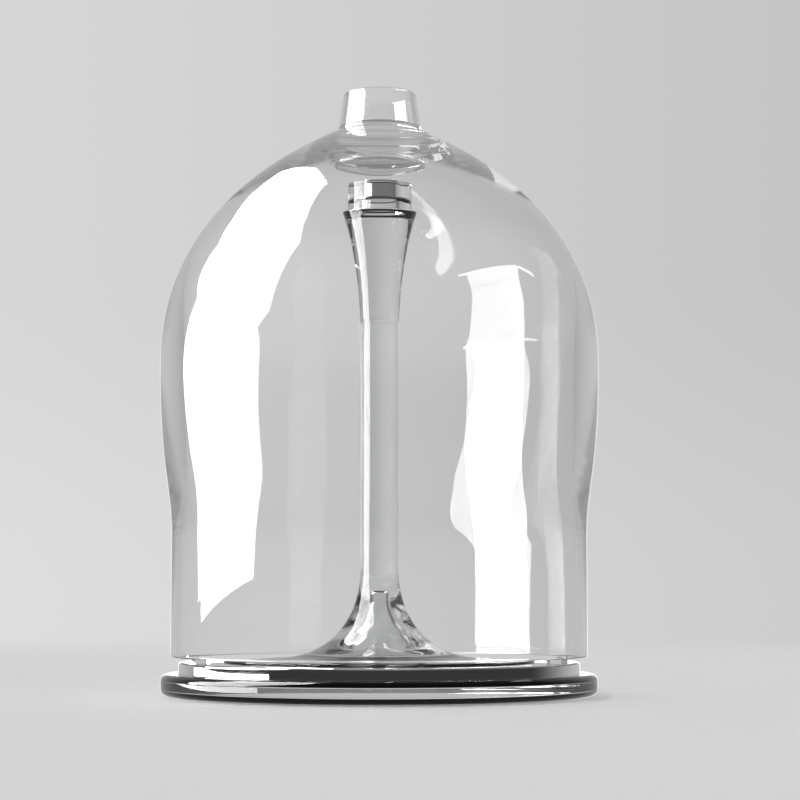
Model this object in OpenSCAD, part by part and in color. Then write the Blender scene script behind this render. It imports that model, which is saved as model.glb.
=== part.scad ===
// Glass bell on a stepped base, over a clear stem that carries a small cup.
// Everything is turned about the Z axis. The base stands on Z = 0.

/* [Base] */
// Radius of the polished disc that the stem and the bell stand on
disc_r = 90; // [70:0.5:120]
// Height of the polished disc above the glass plate
disc_t = 5.1; // [3:0.1:12]
// Depth of the shallow seat in the plate that the disc sits in
seat_depth = 2; // [0.5:0.1:4]
// Gap round the disc in its seat
seat_gap = 0.1; // [0.05:0.05:0.5]
// Rounding of the disc's upper edge
disc_round = 1.3; // [0.4:0.1:2.5]
// Width of the glass flange outside the disc
flange_w = 7.9; // [5:0.1:15]
// Thickness of the glass plate
plate_t = 9.6; // [7:0.1:16]
// Rounding of the glass plate's edge
plate_round = 3.1; // [1:0.1:3.4]
// Thickness of the clear pads under the plate
pad_t = 0.8; // [0.5:0.1:3]
// Radius of each pad
pad_r = 6; // [3:0.5:10]
// Distance of the pads from the plate's edge
pad_inset = 19; // [12:0.5:30]
// Number of pads
pad_count = 4; // [3:1:8]

/* [Rim pads] */
// Number of clear soft pads that the bell's rim rests on
rim_pad_count = 3; // [3:1:8]
// Width of each pad round the rim, in degrees
rim_pad_angle = 4; // [3:1:30]
// Thickness of the pads between the disc and the bell's rim
rim_pad_t = 2.3; // [1.5:0.1:6]
// Width of the pads where they lie on the disc
rim_pad_land = 5; // [3:0.1:10]
// How far the bell's rim stands out past the pads
rim_pad_reveal = 1.5; // [0:0.1:2]
// Height of the centring lip inside the bell
lip_h = 1.2; // [1:0.1:6]
// Thickness of the centring lip
lip_t = 1.5; // [0.8:0.1:2.5]
// Gap between the lip and the bell
lip_gap = 0.3; // [0.2:0.05:1]

/* [Stem] */
// Radius of the solid rod
rod_r = 8.4; // [6:0.1:12]
// Height of the rod's top end above the disc
rod_h = 147.3; // [100:0.1:200]
// Height of the flared foot above the disc
flare_h = 44.5; // [35:0.5:60]
// Radius where the flare turns into the flat skirt
skirt_r = 42; // [34:0.5:50]
// Thickness of the skirt where the flare ends
skirt_t = 2.4; // [1.5:0.1:4]
// Thickness of the skirt at its edge
skirt_edge_t = 0.9; // [0.6:0.1:1.5]
// Gap between the skirt's edge and the rim pads
skirt_gap = 15; // [4:0.5:25]
// Height of the hollow inside the foot
hollow_h = 32; // [25:0.2:40]
// Radius of the hollow's narrow upper end
hollow_tip_r = 3.1; // [1.5:0.1:5]
// Radius of the hollow's mouth
hollow_mouth_r = 33; // [25:0.5:38]

/* [Stem ring] */
// Height of the ring between the rod and the collar
ring_h = 3.8; // [2:0.1:8]
// Step in from the rod's surface to the ring's surface
ring_step = 0.2; // [0:0.05:1]

/* [Collar] */
// Radius of the collar's lower end
collar_foot_r = 8.8; // [7:0.1:13]
// Radius of the collar's rim
collar_rim_r = 16.9; // [15.5:0.1:22]
// Height of the collar
collar_h = 48.4; // [30:0.5:70]
// Height of the low boss that centres the cup
boss_h = 1.2; // [0.6:0.1:3]
// Gap between the boss and the bore of the cup's base
boss_gap = 0.3; // [0.2:0.05:1]

/* [Cup] */
// Outer radius of the cup
cup_r = 14.5; // [12:0.1:15]
// Height of the cup's base ring
cup_base_h = 6.5; // [4:0.1:12]
// Bore of the cup's base
cup_base_bore_r = 7.7; // [5:0.1:9]
// Thickness of the metal plate between the cup's base and its ring
cup_plate_t = 0.9; // [0.5:0.1:2]
// Step in from the cup's surface to the plate's edge
cup_plate_step = 0.5; // [0:0.1:1.5]
// Height of the cup's upper ring
cup_ring_h = 10.9; // [6:0.1:20]
// Bore of the cup's upper ring
cup_bore_r = 6.4; // [5:0.1:11]
// Gap between the liner and the cup's bore
liner_gap = 0.05; // [0.02:0.01:0.1]
// Wall of the metal liner
liner_wall = 0.8; // [0.4:0.1:2]
// Height of the metal liner
liner_h = 10.4; // [6:0.1:20]

/* [Bell] */
// Gap between the disc's edge and the bell's rim, seen from above
rim_gap = 0.2; // [0.1:0.1:2]
// Thickness of the bell's rim
rim_wall = 3.3; // [2:0.1:6]
// Height of the bell's straight wall above its rim
straight_h = 52; // [20:0.5:70]
// Height of the bell's widest place above its rim
belly_h = 132.2; // [100:0.1:160]
// How far the widest place stands out past the rim
belly_out = 5.9; // [0:0.1:12]
// How far the bell's inside narrows above its rim
inside_taper = 1.5; // [0:0.1:5]
// Wall of the bell's dome, measured at the crown
dome_wall = 6.1; // [4:0.1:10]
// Slope of the dome where it meets the crown, in degrees
crown_slope = 26; // [15:1:40]
// Free height between the cup and the crown's underside
head_gap = 7; // [6.5:0.1:40]

/* [Crown and knob] */
// Radius of the crown piece's bulge
lens_r = 21.6; // [18:0.1:28]
// Height of the bulge's curved underside
lens_sag = 5.7; // [0.5:0.1:8]
// Height of the bulge's side
lens_side = 3.6; // [1:0.1:8]
// Rounding of the bulge's lower edge
lens_round = 1.2; // [0.3:0.1:2]
// How far the crown piece's neck stays inside the knob's foot
neck_inset = 3.2; // [2:0.1:6]
// Gap for the clear cement round the neck
bond_gap = 0.05; // [0.02:0.01:0.2]
// Radius of the knob's foot
knob_foot_r = 19.2; // [16:0.1:24]
// Radius of the knob's top
knob_top_r = 16.8; // [12:0.1:24]
// Height of the knob
knob_h = 17.4; // [10:0.1:30]
// Wall of the knob
knob_wall = 2.2; // [1.2:0.1:4]
// Thickness of the knob's floor
knob_floor = 1.8; // [1:0.1:4]
// Width of the round blend between the shell and the knob's foot
crown_blend = 4; // [2:0.1:6]
// Height of the blend under the knob's foot
crown_blend_h = 2.1; // [1:0.1:4]

/* [Curve handles] */
// Lift of the hollow's narrow part over the disc, where it begins to open
hollow_lift = 17.7; // [14:0.1:22]
// Reach of the hollow's flare, inward from its mouth
hollow_reach = 24; // [18:0.5:28]
// Rise of the hollow's flare over the disc
hollow_rise = 6; // [3:0.5:9]
// Reach of the foot's flare, outward from the axis
flare_reach = 20.5; // [16:0.5:26]
// Rise of the foot's flare over the skirt
flare_rise = 1.7; // [0.5:0.1:4]
// Drop of the foot's flare, down from where it meets the rod
flare_drop = 23.8; // [16:0.2:30]
// Swell of the collar above its lower end
collar_swell = 1.1; // [0:0.1:3]
// Hollow of the collar under its rim
collar_tuck = 3.5; // [0:0.1:6]
// Pull of the bell's outside where it starts to swell
swell_pull = 24; // [15:1:40]
// Pull of the bell's outside below its widest place
belly_pull = 48; // [25:1:50]
// Pull of the shoulder's outside, up from the widest place
shoulder_pull = 57.5; // [40:0.5:65]
// Pull of the dome's outside, along its slope from the crown
crown_pull = 40; // [25:1:50]
// Height over the widest place where the shoulder's inside begins
inside_start = 18; // [5:1:30]
// Pull of the shoulder's inside, up from the widest place
inside_pull = 64.5; // [45:0.5:70]
// Pull of the dome's inside, along its slope from the crown
inside_crown_pull = 36; // [25:1:45]
// Height over the rim where the inside begins to narrow
taper_start = 6; // [4:1:15]
// Height over the rim where the inside is narrow
taper_end = 106; // [80:1:115]

/* [Quality] */
// Straight pieces that stand for each long curve
curve_steps = 24; // [12:1:40]

/* [Hidden] */
$fn = 160;
plate_r = disc_r + flange_w;
plate_z = pad_t;
disc_z = plate_z + plate_t;
seat_z = disc_z - seat_depth;
floor_z = disc_z + disc_t;
rim_z = floor_z + rim_pad_t;
rim_in_r = disc_r + rim_gap;
rim_out_r = rim_in_r + rim_wall;
rim_pad_in_r = disc_r - rim_pad_land;
skirt_edge_r = rim_pad_in_r - skirt_gap;
ring_z = floor_z + rod_h;
collar_z = ring_z + ring_h;
cup_z = collar_z + collar_h;
cup_plate_z = cup_z + cup_base_h;
cup_ring_z = cup_plate_z + cup_plate_t;
cup_top_z = cup_ring_z + cup_ring_h;
liner_r = cup_bore_r - liner_gap;
lens_z = cup_top_z + head_gap;
land_z = lens_z + lens_sag + lens_side;
crown_z = land_z + dome_wall;
knob_z = crown_z + crown_blend_h;
neck_r = knob_foot_r - neck_inset;
belly_r = rim_out_r + belly_out;
inside_r = rim_in_r - inside_taper;
belly_z = rim_z + belly_h;

// Point of a cubic Bezier curve at t
function bezier_at(p, t) =
    pow(1 - t, 3) * p[0] + 3 * pow(1 - t, 2) * t * p[1]
    + 3 * (1 - t) * t * t * p[2] + pow(t, 3) * p[3];

// Points of a cubic Bezier curve, without its last one when open is true
function bezier(p, steps, open = false) =
    [for (i = [0 : steps - (open ? 1 : 0)]) bezier_at(p, i / steps)];

// Points of a circular arc from angle a to angle b
function arc(c, r, a, b, steps = 6) =
    [for (i = [0 : steps]) let (w = a + (b - a) * i / steps) c + r * [cos(w), sin(w)]];

// A solid of revolution about Z from an outline of [radius, height] points
module turned(outline) {
    rotate_extrude() polygon(outline);
}

module foot_pads() {
    color("gainsboro")
        for (i = [0 : pad_count - 1])
            rotate([0, 0, (i + 0.5) * 360 / pad_count])
                translate([plate_r - pad_inset, 0, 0]) cylinder(h = pad_t, r = pad_r, $fn = 48);
}

module base_plate() {
    e = plate_r - plate_round;
    seat_r = disc_r + seat_gap;
    color("lightcyan", 0.5) turned(concat(
        [[0, plate_z]],
        arc([e, plate_z + plate_round], plate_round, -90, 0),
        arc([e, disc_z - plate_round], plate_round, 0, 90),
        [[seat_r, disc_z], [seat_r, seat_z], [0, seat_z]]));
}

module base_disc() {
    color("silver") turned(concat(
        [[0, seat_z], [disc_r, seat_z]],
        arc([disc_r - disc_round, floor_z - disc_round], disc_round, 0, 90),
        [[0, floor_z]]));
}

// Each pad lies on the disc's edge, carries the rim and centres it with a low lip
module rim_pads() {
    // One pad is at the back
    back_angle = 90;
    lip_r = rim_in_r - lip_gap;
    outer_r = rim_out_r - rim_pad_reveal;
    color("whitesmoke", 0.6)
        for (i = [0 : rim_pad_count - 1])
            rotate([0, 0, back_angle + i * 360 / rim_pad_count - rim_pad_angle / 2])
                rotate_extrude(angle = rim_pad_angle) polygon([
                    [rim_pad_in_r, floor_z],
                    [outer_r, floor_z],
                    [outer_r, rim_z],
                    [lip_r, rim_z],
                    [lip_r, rim_z + lip_h],
                    [lip_r - lip_t, rim_z + lip_h],
                    [lip_r - lip_t, rim_z],
                    [rim_pad_in_r, rim_z]]);
}

// The flared foot and the rod are one piece of glass
module stem() {
    flare_z = floor_z + flare_h;
    skirt_z = floor_z + skirt_t;
    hollow_z = floor_z + hollow_h;
    edge_round = skirt_edge_t / 2;
    tip_round = hollow_tip_r / 2;
    color("lightcyan", 0.5) turned(concat(
        [[0, hollow_z]],
        arc([hollow_tip_r - tip_round, hollow_z - tip_round], tip_round, 90, 0),
        bezier([[hollow_tip_r, hollow_z - 2 * tip_round],
                [hollow_tip_r, floor_z + hollow_lift],
                [hollow_mouth_r - hollow_reach, floor_z + hollow_rise],
                [hollow_mouth_r, floor_z]], curve_steps),
        arc([skirt_edge_r - edge_round, floor_z + edge_round], edge_round, -90, 60),
        bezier([[skirt_r, skirt_z],
                [flare_reach, skirt_z + flare_rise],
                [rod_r, flare_z - flare_drop],
                [rod_r, flare_z]], curve_steps),
        [[rod_r, ring_z],
         [0, ring_z]]));
}

module stem_ring() {
    color("lightcyan", 0.5) translate([0, 0, ring_z])
        cylinder(h = ring_h, r = rod_r - ring_step);
}

module collar() {
    rim_round = 0.5;
    color("lightcyan", 0.5) turned(concat(
        [[0, collar_z]],
        bezier([[collar_foot_r, collar_z],
                [collar_foot_r + collar_swell, collar_z + collar_h / 3],
                [collar_rim_r - collar_tuck, cup_z - collar_h / 4],
                [collar_rim_r, cup_z - rim_round]], curve_steps),
        [[collar_rim_r - rim_round, cup_z],
         [cup_base_bore_r - boss_gap, cup_z],
         [cup_base_bore_r - boss_gap, cup_z + boss_h],
         [0, cup_z + boss_h]]));
}

module cup_base() {
    color("lightcyan", 0.5) translate([0, 0, cup_z]) difference() {
        cylinder(h = cup_base_h, r = cup_r);
        translate([0, 0, -1]) cylinder(h = cup_base_h + 2, r = cup_base_bore_r);
    }
}

module cup_plate() {
    color("silver") translate([0, 0, cup_plate_z])
        cylinder(h = cup_plate_t, r = cup_r - cup_plate_step);
}

module cup_ring() {
    round = 0.8;
    color("lightcyan", 0.5) turned(concat(
        [[cup_bore_r, cup_ring_z], [cup_r, cup_ring_z]],
        arc([cup_r - round, cup_top_z - round], round, 0, 90),
        arc([cup_bore_r + round / 2, cup_top_z - round / 2], round / 2, 90, 180)));
}

module cup_liner() {
    color("silver") translate([0, 0, cup_ring_z]) difference() {
        cylinder(h = liner_h, r = liner_r);
        translate([0, 0, liner_wall]) cylinder(h = liner_h, r = liner_r - liner_wall);
    }
}

module bell_shell() {
    rim_round = 0.8;
    blend_r = knob_foot_r + crown_blend;
    down_slope = [cos(crown_slope), -sin(crown_slope)];
    // The crown piece's bulge lies against a flat ring, just wider than itself,
    // and a short cone leads from the ring to the dome
    ring_margin = 0.6;
    dome_margin = 4;
    dome_drop = 0.8;
    dome_start = [lens_r + dome_margin, land_z - dome_drop];
    color("lightcyan", 0.35) turned(concat(
        arc([rim_in_r + rim_round, rim_z + rim_round], rim_round, 180, 270),
        arc([rim_out_r - rim_round, rim_z + rim_round], rim_round, 270, 360),
        // Outside: the wall swells to the belly, then closes to the crown
        bezier([[rim_out_r, rim_z + straight_h],
                [rim_out_r, rim_z + straight_h + swell_pull],
                [belly_r, belly_z - belly_pull],
                [belly_r, belly_z]], curve_steps, open = true),
        bezier([[belly_r, belly_z],
                [belly_r, belly_z + shoulder_pull],
                [blend_r, crown_z] + crown_pull * down_slope,
                [blend_r, crown_z]], 2 * curve_steps, open = true),
        bezier([[blend_r, crown_z],
                [blend_r, crown_z] - crown_blend / 2 * down_slope,
                [knob_foot_r, knob_z - crown_blend_h / 2],
                [knob_foot_r, knob_z]], 6),
        [[neck_r + bond_gap, knob_z],
         [neck_r + bond_gap, land_z],
         [lens_r + ring_margin, land_z]],
        // Inside: the dome, then a nearly straight wall that widens to the rim
        bezier([dome_start,
                dome_start + inside_crown_pull * down_slope,
                [inside_r, belly_z + inside_pull],
                [inside_r, belly_z + inside_start]], 2 * curve_steps),
        bezier([[inside_r, rim_z + taper_end],
                [inside_r, rim_z + taper_end / 2],
                [rim_in_r, rim_z + taper_end / 2],
                [rim_in_r, rim_z + taper_start]], curve_steps)));
}

module crown_lens() {
    // Radius of the shallow dome under the bulge
    sag_r = (pow(lens_r, 2) + pow(lens_sag, 2)) / (2 * lens_sag);
    side_z = lens_z + lens_sag;
    sag_angle = asin((lens_r - lens_round) / sag_r);
    color("lightcyan", 0.5) turned(concat(
        arc([0, lens_z + sag_r], sag_r, -90, -90 + sag_angle, 16),
        arc([lens_r - lens_round, side_z + lens_round], lens_round, -60, 0),
        [[lens_r, land_z],
         [neck_r, land_z],
         [neck_r, knob_z],
         [0, knob_z]]));
}

module knob() {
    slope = (knob_foot_r - knob_top_r) / knob_h;
    lip = knob_wall / 2;
    top_z = knob_z + knob_h;
    color("lightcyan", 0.5) turned(concat(
        [[0, knob_z],
         [knob_foot_r, knob_z]],
        arc([knob_top_r - lip, top_z - lip], lip, 0, 180, 12),
        [[knob_foot_r - knob_wall - slope * knob_floor, knob_z + knob_floor],
         [0, knob_z + knob_floor]]));
}

foot_pads();
base_plate();
base_disc();
rim_pads();
stem();
stem_ring();
collar();
cup_base();
cup_plate();
cup_ring();
cup_liner();
bell_shell();
crown_lens();
knob();
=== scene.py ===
"""Looks for the glass bell: smooth turned glass, mirror metal, clear soft parts and a plain studio.

Every glass and metal piece is spun again from its own CAD outline, so it keeps the CAD's
sizes and gains a smooth surface. Glass that is fused in the real object becomes one piece.
"""

import math

import bmesh
import bpy
import numpy as np
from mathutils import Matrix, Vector

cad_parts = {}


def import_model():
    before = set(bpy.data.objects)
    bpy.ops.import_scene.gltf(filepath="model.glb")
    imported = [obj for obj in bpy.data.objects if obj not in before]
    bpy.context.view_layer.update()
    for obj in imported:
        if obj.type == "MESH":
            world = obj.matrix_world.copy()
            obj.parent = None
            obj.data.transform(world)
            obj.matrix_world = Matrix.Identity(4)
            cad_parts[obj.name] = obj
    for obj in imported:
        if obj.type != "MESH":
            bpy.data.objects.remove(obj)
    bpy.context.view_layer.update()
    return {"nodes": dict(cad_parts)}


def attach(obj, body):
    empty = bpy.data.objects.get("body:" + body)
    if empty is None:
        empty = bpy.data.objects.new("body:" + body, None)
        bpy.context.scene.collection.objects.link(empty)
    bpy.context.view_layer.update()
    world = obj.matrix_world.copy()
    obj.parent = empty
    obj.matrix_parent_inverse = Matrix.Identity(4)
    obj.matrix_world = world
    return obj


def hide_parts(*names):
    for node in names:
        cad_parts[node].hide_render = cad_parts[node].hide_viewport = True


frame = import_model()
nodes = frame["nodes"]
scene = bpy.context.scene

# ---------------------------------------------------------------- outlines, in metres
TOUCH = 2e-6                     # two outline points closer than this are one
SMOOTH_TURN = math.radians(24)   # an outline that turns less than this at a point is curved there
FINE_TURN = math.radians(1.5)    # what a fine outline turns at each of its points
LONG = 3.0                       # a stretch this many times its neighbour's length is straight
SPIN_STEPS = 224                 # faces round each turned piece
SHARP = math.radians(20)         # an edge that turns more than this shows as an edge


def half_plane_points(name):
    """The node's points on the half-plane X >= 0, Y = 0, and the edges between them, as (r, z)."""
    mesh = nodes[name].data
    number, points, edges = {}, [], set()
    of_vertex = {}
    for v in mesh.vertices:
        if abs(v.co.y) < TOUCH and v.co.x > -TOUCH:
            key = (round(v.co.x / TOUCH), round(v.co.z / TOUCH))
            near = [(key[0] + i, key[1] + j) for i in (-1, 0, 1) for j in (-1, 0, 1)]
            found = next((number[k] for k in near if k in number), None)
            if found is None:
                found = number[key] = len(points)
                points.append((max(v.co.x, 0.0), v.co.z))
            of_vertex[v.index] = found
    for e in mesh.edges:
        a, b = (of_vertex.get(i) for i in e.vertices)
        if a is not None and b is not None and a != b:
            edges.add((min(a, b), max(a, b)))
    return points, edges


def outline(name):
    """The node's outline as ordered (r, z) points, and whether it is closed.

    It is closed if it goes round in a loop, and open if it starts and ends on the axis.
    """
    points, edges = half_plane_points(name)
    beside = {i: set() for i in range(len(points))}
    for a, b in edges:
        beside[a].add(b)
        beside[b].add(a)
    # Flat faces across the axis have no edge of their own here: join what they leave open
    loose = sorted((i for i in beside if len(beside[i]) == 1 and points[i][0] > TOUCH),
                   key=lambda i: points[i])
    while loose:
        a = loose.pop()
        level = [b for b in loose if abs(points[b][1] - points[a][1]) < TOUCH]
        if level:
            b = level[-1]
            loose.remove(b)
        else:
            b = len(points)
            points.append((0.0, points[a][1]))
            beside[b] = set()
        beside[a].add(b)
        beside[b].add(a)
    on_axis = sorted((i for i in beside if points[i][0] <= TOUCH and len(beside[i]) == 1),
                     key=lambda i: points[i][1])
    chain, last = [on_axis[0] if on_axis else 0], None
    while True:
        ahead = [i for i in beside[chain[-1]] if i != last and i not in chain]
        if not ahead:
            break
        last = chain[-1]
        chain.append(ahead[0])
    if len(chain) != len(points):
        raise RuntimeError(f"{name}: only {len(chain)} of {len(points)} outline points are joined")
    return [np.array(points[i]) for i in chain], not on_axis


def turn_between(a, b):
    """The angle between two unit vectors."""
    return math.acos(max(-1.0, min(1.0, float(a @ b))))


def fine(points, closed):
    """The outline with its curved stretches made finer. Corners stay as they are."""
    n = len(points)
    count = n if closed else n - 1
    step = [points[(i + 1) % n] - points[i] for i in range(count)]
    length = [np.linalg.norm(s) for s in step]
    heading = [s / l for s, l in zip(step, length)]

    def tangent(i):
        """The curve's direction at point i, or None at a corner or an end."""
        before, after = (i - 1) % n, i
        if not closed and i in (0, n - 1):
            return None
        if turn_between(heading[before], heading[after]) > SMOOTH_TURN:
            return None
        if length[before] > LONG * length[after]:
            return heading[before]
        if length[after] > LONG * length[before]:
            return heading[after]
        mixed = heading[before] * length[after] + heading[after] * length[before]
        return mixed / np.linalg.norm(mixed)

    made = []
    for i in range(count):
        a, b = points[i], points[(i + 1) % n]
        ta, tb = tangent(i), tangent((i + 1) % n)
        chord = heading[i]
        # At a corner, the curve leaves as an arc would, mirrored from its other end
        if ta is None:
            ta = 2 * chord * (chord @ tb) - tb if tb is not None else chord
        if tb is None:
            tb = 2 * chord * (chord @ ta) - ta
        steps = max(1, math.ceil(turn_between(ta, tb) / FINE_TURN))
        for k in range(steps):
            t = k / steps
            h = (2 * t**3 - 3 * t**2 + 1, t**3 - 2 * t**2 + t, 3 * t**2 - 2 * t**3, t**3 - t**2)
            made.append(h[0] * a + h[1] * length[i] * ta + h[2] * b + h[3] * length[i] * tb)
    if not closed:
        made.append(points[-1])
    return made


def spin(name, points, closed):
    """A smooth piece of revolution about Z from ordered (r, z) points, facing outwards."""
    bm = bmesh.new()
    rings = []
    for r, z in points:
        if r <= TOUCH:
            rings.append([bm.verts.new((0, 0, z))])
        else:
            turns = (2 * math.pi * k / SPIN_STEPS for k in range(SPIN_STEPS))
            rings.append([bm.verts.new((r * math.cos(w), r * math.sin(w), z)) for w in turns])
    pairs = list(zip(rings, rings[1:])) + ([(rings[-1], rings[0])] if closed else [])
    for low, high in pairs:
        for k in range(SPIN_STEPS):
            j = (k + 1) % SPIN_STEPS
            corners = [low[k % len(low)], low[j % len(low)],
                       high[j % len(high)], high[k % len(high)]]
            bm.faces.new(list(dict.fromkeys(corners)))
    bmesh.ops.recalc_face_normals(bm, faces=bm.faces)
    mesh = bpy.data.meshes.new(name)
    bm.to_mesh(mesh)
    bm.free()
    mesh.shade_smooth()
    mesh.set_sharp_from_angle(angle=SHARP)
    return placed(name, mesh)


def placed(name, mesh):
    """A new object in the scene with this mesh."""
    made = bpy.data.objects.new(name, mesh)
    scene.collection.objects.link(made)
    return made


# ---------------------------------------------------------------- shader nodes
def node(tree, kind, **settings):
    """A new node. Each setting is one of its inputs, or else one of its properties."""
    made = tree.nodes.new(kind)
    for key, value in settings.items():
        if key in made.inputs:
            made.inputs[key].default_value = value
        else:
            setattr(made, key, value)
    return made


def new_material(name):
    """A material with its node tree and its Principled shader."""
    material = bpy.data.materials.new(name)
    material.use_nodes = True
    tree = material.node_tree
    return material, tree, tree.nodes["Principled BSDF"]


def math_node(tree, operation, *values):
    """One step of arithmetic. Each value is a number or another node's output."""
    made = node(tree, "ShaderNodeMath", operation=operation)
    for place, value in zip(made.inputs, values):
        if isinstance(value, float):
            place.default_value = value
        else:
            tree.links.new(value, place)
    return made.outputs[0]


def ranged(tree, value, start, end, low=0.0, high=1.0, kind="SMOOTHSTEP"):
    """value from start to end becomes low to high, and stays there outside."""
    made = node(tree, "ShaderNodeMapRange", interpolation_type=kind)
    tree.links.new(value, made.inputs["Value"])
    for place, number in zip(("From Min", "From Max", "To Min", "To Max"), (start, end, low, high)):
        made.inputs[place].default_value = number
    return made.outputs["Result"]


def either(tree, factor, a, b):
    """The number a where the factor is 0, and b where it is 1. Each is a number or an output."""
    made = node(tree, "ShaderNodeMix", data_type="FLOAT")
    tree.links.new(factor, made.inputs["Factor"])
    for place, value in (("A", a), ("B", b)):
        if isinstance(value, float):
            made.inputs[place].default_value = value
        else:
            tree.links.new(value, made.inputs[place])
    return made.outputs["Result"]


def surface(tree, factor, first, second):
    """The material's surface is the first shader where the factor is 0, the second where it is 1."""
    mix = node(tree, "ShaderNodeMixShader")
    tree.links.new(factor, mix.inputs[0])
    tree.links.new(first.outputs[0], mix.inputs[1])
    tree.links.new(second.outputs[0], mix.inputs[2])
    tree.links.new(mix.outputs[0], tree.nodes["Material Output"].inputs["Surface"])


def noise(tree, scale, detail=2.0, roughness=0.5, stretch=(1, 1, 1)):
    """Noise in the object's own space, in cycles per metre."""
    where = node(tree, "ShaderNodeTexCoord")
    mapping = node(tree, "ShaderNodeMapping", Scale=stretch)
    made = node(tree, "ShaderNodeTexNoise", Scale=scale, Detail=detail, Roughness=roughness)
    tree.links.new(where.outputs["Object"], mapping.inputs["Vector"])
    tree.links.new(mapping.outputs["Vector"], made.inputs["Vector"])
    return made.outputs["Fac"]


def uneven_roughness(tree, shader, scale, detail, low, high):
    """Roughness from low to high in soft clouds."""
    clouds = ranged(tree, noise(tree, scale, detail), *CLOUD_EDGES, low, high, "LINEAR")
    tree.links.new(clouds, shader.inputs["Roughness"])


def bump(tree, shader, height, depth, strength=1.0):
    """height raises the surface by up to depth metres."""
    made = node(tree, "ShaderNodeBump", Strength=strength, Distance=depth)
    tree.links.new(height, made.inputs["Height"])
    tree.links.new(made.outputs["Normal"], shader.inputs["Normal"])


# ---------------------------------------------------------------- materials
CLOUD_EDGES = (0.35, 0.65)       # where clouds of noise start and end
GLASS_IOR = 1.5
SILICONE_IOR = 1.41
FILM = (55, 4)                   # scale and detail of the faint film on glass
WAVE = (1.0, 0.4)                # detail and roughness of the slow waves in glass
SHADOW_TINT = (0.9, 0.9, 0.9, 1)
HAZE = (40, 3)                   # scale and detail of the haze on metal
CLOUD = (18, 3)                  # scale and detail of the metal's change of tone
CLOUD_TONE = 0.94                # how dark that change goes
RING_SCALE = 1800                # the polishing rings, in cycles per metre
RING_DETAIL = 2.0
RING_DEPTH = 2e-6
RING_STRENGTH = 0.4


def glass(name, tint, wave_depth, wave_scale, film=0.004, stretch=(1, 1, 1), ior=GLASS_IOR):
    """Clear glass: slow waves in its surface and a faint, uneven film that dulls the shine."""
    material, tree, shader = new_material(name)
    shader.inputs["Base Color"].default_value = (*tint, 1)
    shader.inputs["Transmission Weight"].default_value = 1.0
    shader.inputs["IOR"].default_value = ior
    uneven_roughness(tree, shader, *FILM, 0.0, film)
    bump(tree, shader, noise(tree, wave_scale, *WAVE, stretch), wave_depth)
    # Light shines straight through clear glass, so that it casts only a pale shadow
    ray = node(tree, "ShaderNodeLightPath")
    through = node(tree, "ShaderNodeBsdfTransparent", Color=SHADOW_TINT)
    surface(tree, ray.outputs["Is Shadow Ray"], shader, through)
    return material


def metal(name, tint, rough_low, rough_high):
    """Mirror-polished turned metal: faint rings of the polishing wheel and a little haze."""
    material, tree, shader = new_material(name)
    shader.inputs["Metallic"].default_value = 1.0
    colour = node(tree, "ShaderNodeMix", data_type="RGBA")
    colour.inputs["A"].default_value = (*[CLOUD_TONE * c for c in tint], 1)
    colour.inputs["B"].default_value = (*tint, 1)
    tree.links.new(noise(tree, *CLOUD), colour.inputs["Factor"])
    tree.links.new(colour.outputs["Result"], shader.inputs["Base Color"])
    uneven_roughness(tree, shader, *HAZE, rough_low, rough_high)
    # Rings about the axis: noise over the distance from the axis and the height
    where = node(tree, "ShaderNodeTexCoord")
    apart = node(tree, "ShaderNodeSeparateXYZ")
    tree.links.new(where.outputs["Object"], apart.inputs["Vector"])
    x, y, z = (apart.outputs[axis] for axis in "XYZ")
    squares = (math_node(tree, "MULTIPLY", x, x), math_node(tree, "MULTIPLY", y, y))
    radius = math_node(tree, "SQRT", math_node(tree, "ADD", *squares))
    rings = node(tree, "ShaderNodeCombineXYZ")
    tree.links.new(radius, rings.inputs["X"])
    tree.links.new(z, rings.inputs["Y"])
    grain = node(tree, "ShaderNodeTexNoise", Scale=RING_SCALE, Detail=RING_DETAIL)
    tree.links.new(rings.outputs["Vector"], grain.inputs["Vector"])
    bump(tree, shader, grain.outputs["Fac"], RING_DEPTH, RING_STRENGTH)
    return material


bell_glass = glass("bell_glass", (0.985, 0.99, 0.988), 3e-6, 22, film=0.002, stretch=(1, 1, 0.5))
stem_glass = glass("stem_glass", (0.90, 0.905, 0.905), 2e-6, 40, film=0.002, stretch=(1, 1, 0.4))
cup_glass = glass("cup_glass", (0.98, 0.985, 0.983), 1.5e-6, 80, film=0.002)
base_glass = glass("base_glass", (0.96, 0.975, 0.97), 4e-6, 30)
soft_clear = glass("clear_rubber", (0.97, 0.97, 0.97), 8e-6, 140, film=0.05, ior=SILICONE_IOR)
mirror = metal("polished_metal", (0.90, 0.90, 0.905), 0.015, 0.035)


# ---------------------------------------------------------------- pieces
def finished(piece, body, slot, material, *replaced):
    """The piece takes its material, rides on its body and stands for its CAD nodes."""
    piece.data.materials.append(material)
    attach(piece, body)
    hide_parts(*replaced)


def respun(name, body, slot, material):
    """The node spun again, smooth, from its own outline."""
    points, closed = outline(name)
    piece = spin(name + "_turned", fine(points, closed), closed)
    finished(piece, body, slot, material, name)


def fused(name, points, body, slot, material, *replaced):
    """Nodes that are one glass, spun as one piece from their joined outline."""
    finished(spin(name, fine(points, False), False), body, slot, material, *replaced)


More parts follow.
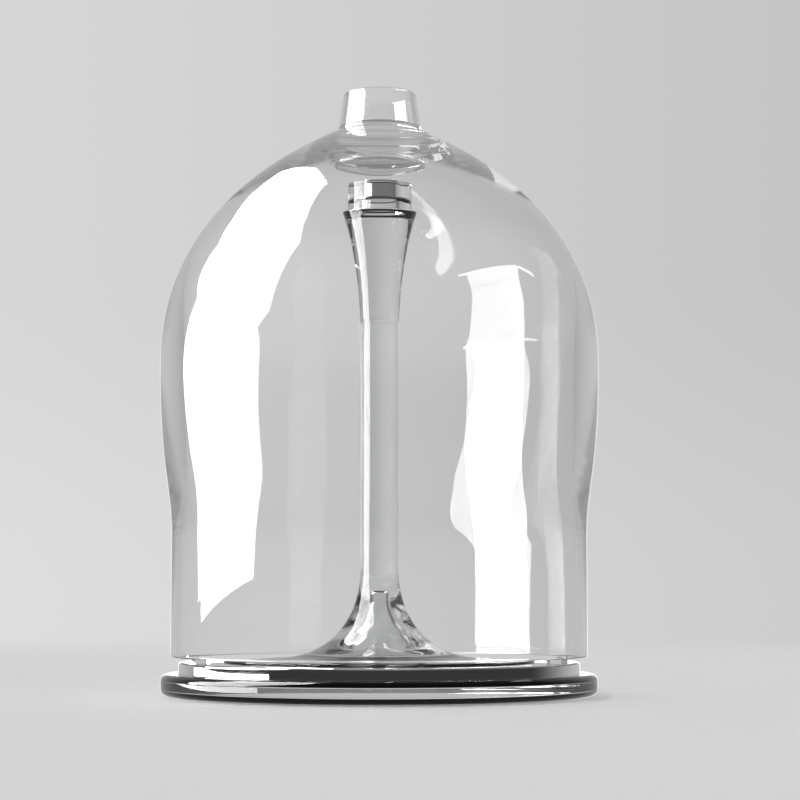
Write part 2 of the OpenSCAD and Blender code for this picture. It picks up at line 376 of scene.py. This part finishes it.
def bell_outline():
    """Crown piece, shell and knob as one outline, from the axis below to the axis above."""
    lens, _ = outline("crown_lens")
    shell, _ = outline("bell_shell")
    knob, _ = outline("knob")
    lens_r = max(p[0] for p in lens)
    side_top = max(i for i, p in enumerate(lens) if abs(p[0] - lens_r) < TOUCH)
    # The shell's bore is hidden in the glass: its narrowest points are left out
    bore_r = min(p[0] for p in shell)
    cut = [i for i, p in enumerate(shell) if p[0] - bore_r < TOUCH]
    first = next(i for i in cut if (i + 1) % len(shell) not in cut)
    wall = [shell[(first + 1 + k) % len(shell)] for k in range(len(shell) - len(cut))]
    if wall[0][1] > wall[-1][1]:
        wall.reverse()
    foot = max(range(len(knob)), key=lambda i: knob[i][0])
    return lens[:side_top + 1] + wall + knob[foot + 1:]


def stem_outline():
    """Stem, ring and collar as one outline, from the axis below to the axis above."""
    stem, _ = outline("stem")
    ring, _ = outline("stem_ring")
    collar, _ = outline("collar")
    return stem[:-1] + ring[1:-1] + collar[1:]


fused("bell_turned", bell_outline(), "bell", "bell_glass", bell_glass,
      "bell_shell", "crown_lens", "knob")
respun("base_plate", "base", "base_glass", base_glass)
respun("base_disc", "base", "polished_metal", mirror)
fused("stem_turned", stem_outline(), "base", "stem_glass", stem_glass,
      "stem", "stem_ring", "collar")
respun("cup_base", "cup", "cup_glass", cup_glass)
respun("cup_plate", "cup", "polished_metal", mirror)
respun("cup_ring", "cup", "cup_glass", cup_glass)
respun("cup_liner", "liner", "polished_metal", mirror)
for pads in ("foot_pads", "rim_pads"):
    for place in nodes[pads].material_slots:
        place.material = soft_clear

# ---------------------------------------------------------------- studio
# Straight and bent rays see a pale backdrop. Reflected rays see a studio: pale behind the
# object, dark round the camera, and the softbox. Light that is trapped in glass sees it weaker.
# x is to the right, y is away from the camera and z is up, all parts of a direction of length 1.
BACKDROP_SIDES = (0.69, 0.55)    # the backdrop's tone on the left and on the right
BACKDROP_TURN = (-0.3, 0.3)      # the x from which and to which its tone changes
BACKDROP_LIFT = 0.05             # how much lighter the backdrop is near the floor
BACKDROP_LOW = (0.0, 0.16)       # the z at which that lift is whole, and at which it ends
PALE = 0.5                       # the tone of what is behind the object, in reflections
STUDIO_DARK = 0.04               # the tone of the dark side
STUDIO_BACK = (0.05, 1.0)        # the y over which the dark side turns into the pale one
STUDIO_HIGH = (0.15, 0.9)        # the z over which it gets lighter upwards
HIGH_SHARE = 0.15                # how light it is high up, as a share of PALE
STUDIO_LOW = (-0.30, -0.08)      # the z over which the light from below ends
LOW_SHARE = 0.5                  # how light it is far down, as a share of PALE
EDGE_LIGHT = 1.0                 # what the thin outlines mirror, straight behind the object
EDGE_BACK = (0.955, 0.995)       # the y over which that light comes up
LIGHT = 12.0                     # how strongly the soft light glows
INNER_LIGHT = 1.0                # how strong it looks to light that is trapped in glass
INNER_PALE = 0.2                 # the least tone that such light sees
GLASS_PALE = 0.3                 # the least tone of a reflection in the first glass that light meets
FLOOR_TINT = (0.8, 0.8, 0.805, 1)
FLOOR_GLOW = 0.16                # evens out the floor, as light from above would
FLOOR_ROUGHNESS = 0.9
FLOOR_R = 1.6
FLOOR_CORNERS = 96
FLOOR_FADE = (0.45, 1.5)         # where the floor turns into the backdrop
WHITE = (1, 1, 1, 1)

# How often light was reflected, or went through a surface. Each is the half between two counts
REFLECTED = 0.5
TRAPPED_REFLECTED = 2.5
ENTERED = 0.5
INSIDE = 2.5
FIRST_GLASS = 3.5
TRAPPED_THROUGH = 6.5

scene.view_settings.view_transform = "Standard"
scene.cycles.max_bounces = 48
scene.cycles.transmission_bounces = 48
scene.cycles.glossy_bounces = 40
scene.cycles.transparent_max_bounces = 16
scene.cycles.sample_clamp_indirect = 12


def depth_above(tree, depth, limit):
    """1 for a ray whose depth of that kind, Glossy or Transmission, is over the limit, or 0."""
    ray = node(tree, "ShaderNodeLightPath")
    return math_node(tree, "GREATER_THAN", ray.outputs[depth + " Depth"], limit)


def reflected(tree):
    """1 for a ray that some surface has reflected, and 0 for one that went straight or was bent."""
    return depth_above(tree, "Glossy", REFLECTED)


def trapped(tree):
    """1 for a ray that was reflected more than twice, or went through more than six surfaces."""
    return math_node(tree, "MAXIMUM", depth_above(tree, "Glossy", TRAPPED_REFLECTED),
                     depth_above(tree, "Transmission", TRAPPED_THROUGH))


def flat(name, corners):
    """A flat face with these corners."""
    mesh = bpy.data.meshes.new(name)
    mesh.from_pydata(corners, [], [list(range(len(corners)))])
    return placed(name, mesh)


def floor():
    """A pale round floor that fades into the backdrop. Reflections don't show it."""
    turns = np.linspace(0, 2 * math.pi, FLOOR_CORNERS, endpoint=False)
    made = flat("floor", [(FLOOR_R * math.cos(a), FLOOR_R * math.sin(a), 0) for a in turns])
    material, tree, shader = new_material("floor")
    shader.inputs["Base Color"].default_value = FLOOR_TINT
    shader.inputs["Emission Color"].default_value = WHITE
    shader.inputs["Emission Strength"].default_value = FLOOR_GLOW
    shader.inputs["Roughness"].default_value = FLOOR_ROUGHNESS
    shader.inputs["Specular IOR Level"].default_value = 0.0
    where = node(tree, "ShaderNodeTexCoord")
    away = node(tree, "ShaderNodeVectorMath", operation="LENGTH")
    tree.links.new(where.outputs["Object"], away.inputs[0])
    faded = ranged(tree, away.outputs["Value"], *FLOOR_FADE)
    gone = math_node(tree, "MAXIMUM", faded, reflected(tree))
    surface(tree, gone, shader, node(tree, "ShaderNodeBsdfTransparent"))
    made.data.materials.append(material)


def panel(name, corners, inside_only=False):
    """A soft light: a flat panel that glows evenly. Only surfaces show it, as their reflection.

    With inside_only, only light that went through more than two surfaces shows it.
    """
    made = flat(name, corners)
    material, tree, shader = new_material(name)
    tree.nodes.remove(shader)
    glow = node(tree, "ShaderNodeEmission")
    strength = either(tree, trapped(tree), LIGHT, INNER_LIGHT)
    tree.links.new(strength, glow.inputs["Strength"])
    seen = reflected(tree)
    if inside_only:
        seen = math_node(tree, "MULTIPLY", seen, depth_above(tree, "Transmission", INSIDE))
    surface(tree, seen, node(tree, "ShaderNodeBsdfTransparent"), glow)
    made.data.materials.append(material)


def world():
    """The backdrop and the studio, by direction."""
    made = bpy.data.worlds.new("studio")
    scene.world = made
    made.use_nodes = True
    tree = made.node_tree
    back = tree.nodes["Background"]
    where = node(tree, "ShaderNodeTexCoord")
    apart = node(tree, "ShaderNodeSeparateXYZ")
    tree.links.new(where.outputs["Generated"], apart.inputs[0])
    x, y, z = (apart.outputs[axis] for axis in "XYZ")

    lateral = ranged(tree, x, *BACKDROP_TURN, *BACKDROP_SIDES)
    lift = ranged(tree, z, *BACKDROP_LOW, BACKDROP_LIFT, 0.0)
    backdrop = math_node(tree, "ADD", lateral, lift)

    behind = ranged(tree, y, *STUDIO_BACK)
    high = ranged(tree, z, *STUDIO_HIGH, 0.0, HIGH_SHARE)
    low = ranged(tree, z, *STUDIO_LOW, LOW_SHARE, 0.0)
    lit = math_node(tree, "MAXIMUM", math_node(tree, "MAXIMUM", behind, high), low)
    plain = math_node(tree, "ADD", math_node(tree, "MULTIPLY", lit, PALE), STUDIO_DARK)

    entered = depth_above(tree, "Transmission", ENTERED)
    outer = math_node(tree, "SUBTRACT", 1.0, entered)
    edge = math_node(tree, "MULTIPLY", ranged(tree, y, *EDGE_BACK, 0.0, EDGE_LIGHT), outer)
    first_glass = math_node(tree, "SUBTRACT", entered,
                            depth_above(tree, "Transmission", FIRST_GLASS))
    inner = math_node(tree, "MAXIMUM", math_node(tree, "MULTIPLY", trapped(tree), INNER_PALE),
                      math_node(tree, "MULTIPLY", first_glass, GLASS_PALE))
    studio = math_node(tree, "ADD", math_node(tree, "MAXIMUM", plain, inner), edge)

    tree.links.new(either(tree, reflected(tree), backdrop, studio), back.inputs["Strength"])
    back.inputs["Color"].default_value = WHITE


# The softbox leans over the object from the left. Its corners are metres across and up its plane
SOFTBOX_FOOT = Vector((-0.45, -0.20, 0.07))
ACROSS = Vector((-0.24, 0.97, -0.06)).normalized()
UP = Vector((0.30, 0.14, 0.94)).normalized()


def on_softbox(corners):
    """Places in the room of corners that are given in the softbox's plane."""
    return [SOFTBOX_FOOT + across * ACROSS + up * UP for across, up in corners]


floor()
world()
panel("left_softbox", on_softbox([
    (0.0, 0.01), (0.38, -0.01), (0.39, 0.15), (0.28, 0.29), (0.34, 0.47), (0.59, 0.69),
    (0.70, 0.87), (0.38, 0.935), (0.16, 0.885), (-0.105, 0.49), (-0.11, 0.22), (-0.02, 0.11)]))
# Below the softbox, a strip that carries its light on in reflections from inside the glass
panel("inner_strip", on_softbox([(-0.02, -0.09), (0.42, -0.06), (0.38, -0.012), (0.0, 0.008)]),
      inside_only=True)
# Just below floor level, where only reflections reach it: the light on the disc's upright band
panel("low_strip", [(-0.43, -0.27, -0.015), (-0.59, 0.36, -0.015),
                    (-0.59, 0.36, -0.001), (-0.43, -0.27, -0.001)])

# ---------------------------------------------------------------- camera
CAMERA = Vector((0.0093, -0.935, 0.0439))
PITCH = math.radians(5.485)      # how far it looks up
SENSOR, LENS = 36, 92.8          # millimetres
NEAR = 0.01

camera = bpy.data.objects.new("camera", bpy.data.cameras.new("camera"))
scene.collection.objects.link(camera)
camera.location = CAMERA
camera.rotation_euler = (math.pi / 2 + PITCH, 0, 0)
camera.data.sensor_width = SENSOR
camera.data.lens = LENS
camera.data.clip_start = NEAR
camera.data.dof.use_dof = False
scene.camera = camera
